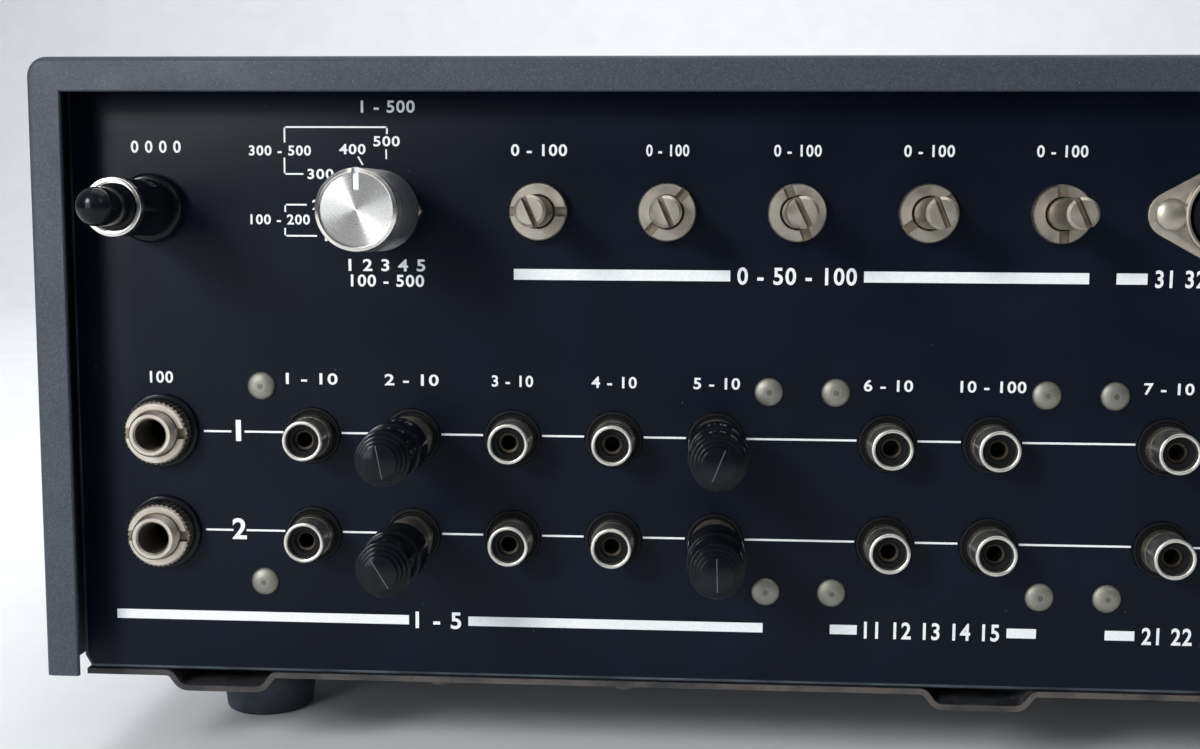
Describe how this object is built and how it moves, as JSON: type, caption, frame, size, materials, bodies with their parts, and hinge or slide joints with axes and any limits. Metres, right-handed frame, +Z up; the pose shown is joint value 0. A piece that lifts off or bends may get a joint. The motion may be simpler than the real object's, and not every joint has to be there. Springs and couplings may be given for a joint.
{
  "type": "stereo preamplifier",
  "caption": "Stereo preamplifier with a full rear socket panel, shorting caps, level controls, ground post, rotary knobs, lever switches and two level meters",
  "frame": {"origin": "on the surface that the feet stand on, under the middle of the whole outline", "axes": "+X to the right seen from the front, +Y backwards through the rear panel, +Z up"},
  "size_m": [0.4, 0.3218, 0.151],
  "materials": {
    "cover_paint": "dark grey textured enamel with a fine sparkle",
    "panel_paint": "near-black semi-gloss enamel with white printing",
    "plate_steel": "zinc-plated sheet",
    "anodised_face": "brushed and anodised",
    "knob_aluminium": "turned, satin side and spun face",
    "nickel": "warm nickel plate",
    "black_plastic": "polished black",
    "rubber": "moulded black rubber",
    "jack_board": "dark laminate with nickel-plated jacks and rivets",
    "circuit_board": "green laminate",
    "core_iron": "varnished laminations",
    "dial": "cream dial in a black housing",
    "needle": "black pointer"
  },
  "bodies": {
    "chassis": {"cover": "cover_paint", "rear_panel": "panel_paint", "bottom_plate": "plate_steel", "left_rail": "plate_steel", "right_rail": "plate_steel", "front_sub_panel": "plate_steel", "impedance_switch": "plate_steel", "front_left_foot": "rubber", "front_right_foot": "rubber", "rear_left_foot": "rubber", "rear_right_foot": "rubber", "input_jack_strip": "jack_board", "tape_one_jack_strip": "jack_board", "tape_two_jack_strip": "jack_board", "output_jack_strip": "jack_board", "ground_post_base": "black_plastic", "outlet_strip": "black_plastic", "mains_inlet": "black_plastic", "din_socket": "nickel", "headphone_jack": "nickel", "level_control_board": "circuit_board", "main_board": "circuit_board", "control_board": "circuit_board", "level_nut_1": "nickel", "level_nut_2": "nickel", "level_nut_3": "nickel", "level_nut_4": "nickel", "level_nut_5": "nickel", "mic_jack_left": "nickel", "mic_nut_left": "nickel", "mic_jack_right": "nickel", "mic_nut_right": "nickel", "front_panel": "anodised_face", "left_meter": "dial", "right_meter": "dial", "power_transformer": "core_iron"},
    "impedance_control": {"impedance_shaft": "nickel", "impedance_knob": "knob_aluminium"},
    "ground_ring": {"ground_clamp_ring": "nickel"},
    "ground_grip": {"ground_thumb_knob": "black_plastic"},
    "level_control_1": {"level_shaft_1": "nickel"},
    "level_control_2": {"level_shaft_2": "nickel"},
    "level_control_3": {"level_shaft_3": "nickel"},
    "level_control_4": {"level_shaft_4": "nickel"},
    "level_control_5": {"level_shaft_5": "nickel"},
    "cap_1_upper": {"shorting_cap_1_upper": "black_plastic"},
    "cap_1_lower": {"shorting_cap_1_lower": "black_plastic"},
    "cap_4_upper": {"shorting_cap_4_upper": "black_plastic"},
    "cap_4_lower": {"shorting_cap_4_lower": "black_plastic"},
    "volume_control": {"volume_knob": "knob_aluminium"},
    "function_control": {"function_knob": "knob_aluminium"},
    "bass_control": {"bass_knob": "knob_aluminium"},
    "treble_control": {"treble_knob": "knob_aluminium"},
    "balance_control": {"balance_knob": "knob_aluminium"},
    "mode_control": {"mode_knob": "knob_aluminium"},
    "power_switch_arm": {"power_lever": "knob_aluminium"},
    "monitor_switch_arm": {"monitor_lever": "knob_aluminium"},
    "filter_switch_arm": {"filter_lever": "knob_aluminium"},
    "left_meter_pointer": {"left_meter_needle": "needle"},
    "right_meter_pointer": {"right_meter_needle": "needle"}
  },
  "joints": [
    {"name": "impedance_turn", "type": "hinge", "parent": "chassis", "child": "impedance_control", "pos_m": [0.1216, 0.1281, 0.119], "axis": [0, 1, 0], "range_deg": [0, 120]},
    {"name": "level_1_turn", "type": "hinge", "parent": "chassis", "child": "level_control_1", "pos_m": [0.0907, 0.1281, 0.119], "axis": [0, 1, 0], "range_deg": [-150, 150]},
    {"name": "level_2_turn", "type": "hinge", "parent": "chassis", "child": "level_control_2", "pos_m": [0.0649, 0.1281, 0.119], "axis": [0, 1, 0], "range_deg": [-150, 150]},
    {"name": "level_3_turn", "type": "hinge", "parent": "chassis", "child": "level_control_3", "pos_m": [0.0391, 0.1281, 0.119], "axis": [0, 1, 0], "range_deg": [-150, 150]},
    {"name": "level_4_turn", "type": "hinge", "parent": "chassis", "child": "level_control_4", "pos_m": [0.0133, 0.1281, 0.119], "axis": [0, 1, 0], "range_deg": [-150, 150]},
    {"name": "level_5_turn", "type": "hinge", "parent": "chassis", "child": "level_control_5", "pos_m": [-0.0125, 0.1281, 0.119], "axis": [0, 1, 0], "range_deg": [-150, 150]},
    {"name": "ground_lift", "type": "slide", "parent": "chassis", "child": "ground_ring", "axis": [0, 1, 0], "range_m": [0, 0.0021]},
    {"name": "ground_turn", "type": "hinge", "parent": "ground_ring", "child": "ground_grip", "pos_m": [0.1703, 0.1281, 0.11935], "axis": [0, 1, 0], "range_deg": [0, 1080]},
    {"name": "cap_1_upper_pull", "type": "slide", "parent": "chassis", "child": "cap_1_upper", "axis": [0, 1, 0], "range_m": [0, 0.02]},
    {"name": "cap_1_lower_pull", "type": "slide", "parent": "chassis", "child": "cap_1_lower", "axis": [0, 1, 0], "range_m": [0, 0.02]},
    {"name": "cap_4_upper_pull", "type": "slide", "parent": "chassis", "child": "cap_4_upper", "axis": [0, 1, 0], "range_m": [0, 0.02]},
    {"name": "cap_4_lower_pull", "type": "slide", "parent": "chassis", "child": "cap_4_lower", "axis": [0, 1, 0], "range_m": [0, 0.02]},
    {"name": "volume_turn", "type": "hinge", "parent": "chassis", "child": "volume_control", "pos_m": [0.138, -0.1399, 0.11], "axis": [0, -1, 0], "range_deg": [-150, 150]},
    {"name": "function_turn", "type": "hinge", "parent": "chassis", "child": "function_control", "pos_m": [0.06, -0.1399, 0.11], "axis": [0, -1, 0], "range_deg": [-75, 75]},
    {"name": "bass_turn", "type": "hinge", "parent": "chassis", "child": "bass_control", "pos_m": [-0.078, -0.1399, 0.052], "axis": [0, -1, 0], "range_deg": [-150, 150]},
    {"name": "treble_turn", "type": "hinge", "parent": "chassis", "child": "treble_control", "pos_m": [-0.038, -0.1399, 0.052], "axis": [0, -1, 0], "range_deg": [-150, 150]},
    {"name": "balance_turn", "type": "hinge", "parent": "chassis", "child": "balance_control", "pos_m": [0.002, -0.1399, 0.052], "axis": [0, -1, 0], "range_deg": [-150, 150]},
    {"name": "mode_turn", "type": "hinge", "parent": "chassis", "child": "mode_control", "pos_m": [0.06, -0.1399, 0.052], "axis": [0, -1, 0], "range_deg": [-60, 60]},
    {"name": "power_throw", "type": "hinge", "parent": "chassis", "child": "power_switch_arm", "pos_m": [-0.165, -0.1239, 0.052], "axis": [1, 0, 0], "range_deg": [-24, 0]},
    {"name": "monitor_throw", "type": "hinge", "parent": "chassis", "child": "monitor_switch_arm", "pos_m": [0.104, -0.1239, 0.052], "axis": [1, 0, 0], "range_deg": [-24, 0]},
    {"name": "filter_throw", "type": "hinge", "parent": "chassis", "child": "filter_switch_arm", "pos_m": [0.138, -0.1239, 0.052], "axis": [1, 0, 0], "range_deg": [-24, 0]},
    {"name": "left_meter_swing", "type": "hinge", "parent": "chassis", "child": "left_meter_pointer", "pos_m": [-0.128, -0.12865, 0.099], "axis": [0, 1, 0], "range_deg": [0, 80], "stiffness_Nm_per_rad": 0.01},
    {"name": "right_meter_swing", "type": "hinge", "parent": "chassis", "child": "right_meter_pointer", "pos_m": [-0.048, -0.12865, 0.099], "axis": [0, 1, 0], "range_deg": [0, 80], "stiffness_Nm_per_rad": 0.01}
  ],
  "couplings": [
    {"joint": "ground_turn", "follows": "ground_lift", "rad_per_m": 8976}
  ]
}
